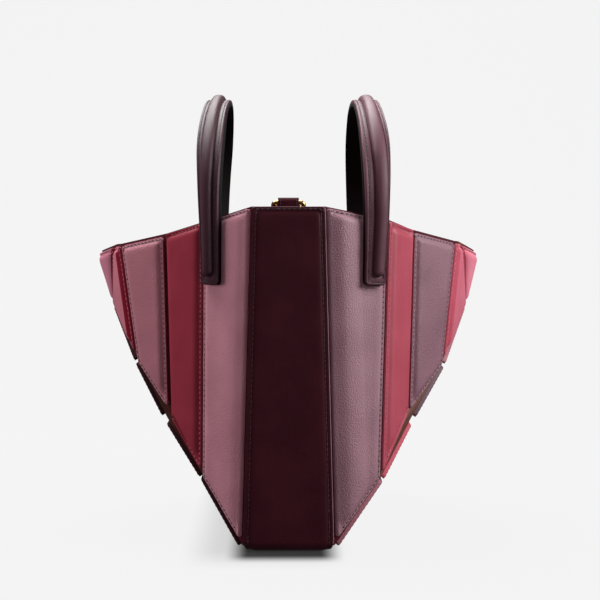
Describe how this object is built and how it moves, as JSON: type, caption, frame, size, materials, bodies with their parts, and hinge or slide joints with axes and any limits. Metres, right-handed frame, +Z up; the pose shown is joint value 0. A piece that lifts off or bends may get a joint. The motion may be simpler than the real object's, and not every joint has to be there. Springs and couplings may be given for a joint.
{
  "type": "tote bag",
  "caption": "Open-top leather tote with padded panels in nested rings over flared broad sides, a padded end strip that runs under the base, arched strap handles and a metal ring at each end.",
  "frame": {"origin": "middle of the base on the floor", "axes": "X across the two broad sides, Y from the front end strip to the back end strip, Z up"},
  "size_m": [0.2808, 0.2834, 0.3148],
  "materials": {
    "body_leather": "brown leather carcass, dark lining side",
    "bordeaux_leather": "deep bordeaux smooth leather",
    "mauve_leather": "mauve satin leather with fine grain",
    "red_leather": "red smooth leather",
    "rose_leather": "rose smooth leather",
    "strap_leather": "dark plum leather with a satin sheen",
    "gold_metal": "polished pale gold"
  },
  "bodies": {
    "bag": {"body": "body_leather", "end_strip": "bordeaux_leather", "panel_a_front_right": "mauve_leather", "panel_a_back_right": "mauve_leather", "band_a_right": "mauve_leather", "panel_b_front_right": "red_leather", "panel_b_back_right": "red_leather", "band_b_right": "red_leather", "panel_c_front_right": "mauve_leather", "panel_c_back_right": "mauve_leather", "band_c_right": "mauve_leather", "panel_d_front_right": "rose_leather", "panel_d_back_right": "rose_leather", "band_d_right": "rose_leather", "petal_right": "rose_leather", "handle_right": "strap_leather", "panel_a_front_left": "mauve_leather", "panel_a_back_left": "mauve_leather", "band_a_left": "mauve_leather", "panel_b_front_left": "red_leather", "panel_b_back_left": "red_leather", "band_b_left": "red_leather", "panel_c_front_left": "mauve_leather", "panel_c_back_left": "mauve_leather", "band_c_left": "mauve_leather", "panel_d_front_left": "rose_leather", "panel_d_back_left": "rose_leather", "band_d_left": "rose_leather", "petal_left": "rose_leather", "handle_left": "strap_leather", "tab_front": "bordeaux_leather", "tab_back": "bordeaux_leather"},
    "ring_front": {"ring_front": "gold_metal"},
    "ring_back": {"ring_back": "gold_metal"}
  },
  "joints": [
    {"name": "ring_front_turn", "type": "hinge", "parent": "bag", "child": "ring_front", "pos_m": [0, -0.13245, 0.2347], "axis": [1, 0, 0], "range_deg": [0, 250]},
    {"name": "ring_back_turn", "type": "hinge", "parent": "bag", "child": "ring_back", "pos_m": [0, 0.13245, 0.2347], "axis": [-1, 0, 0], "range_deg": [0, 250]}
  ]
}
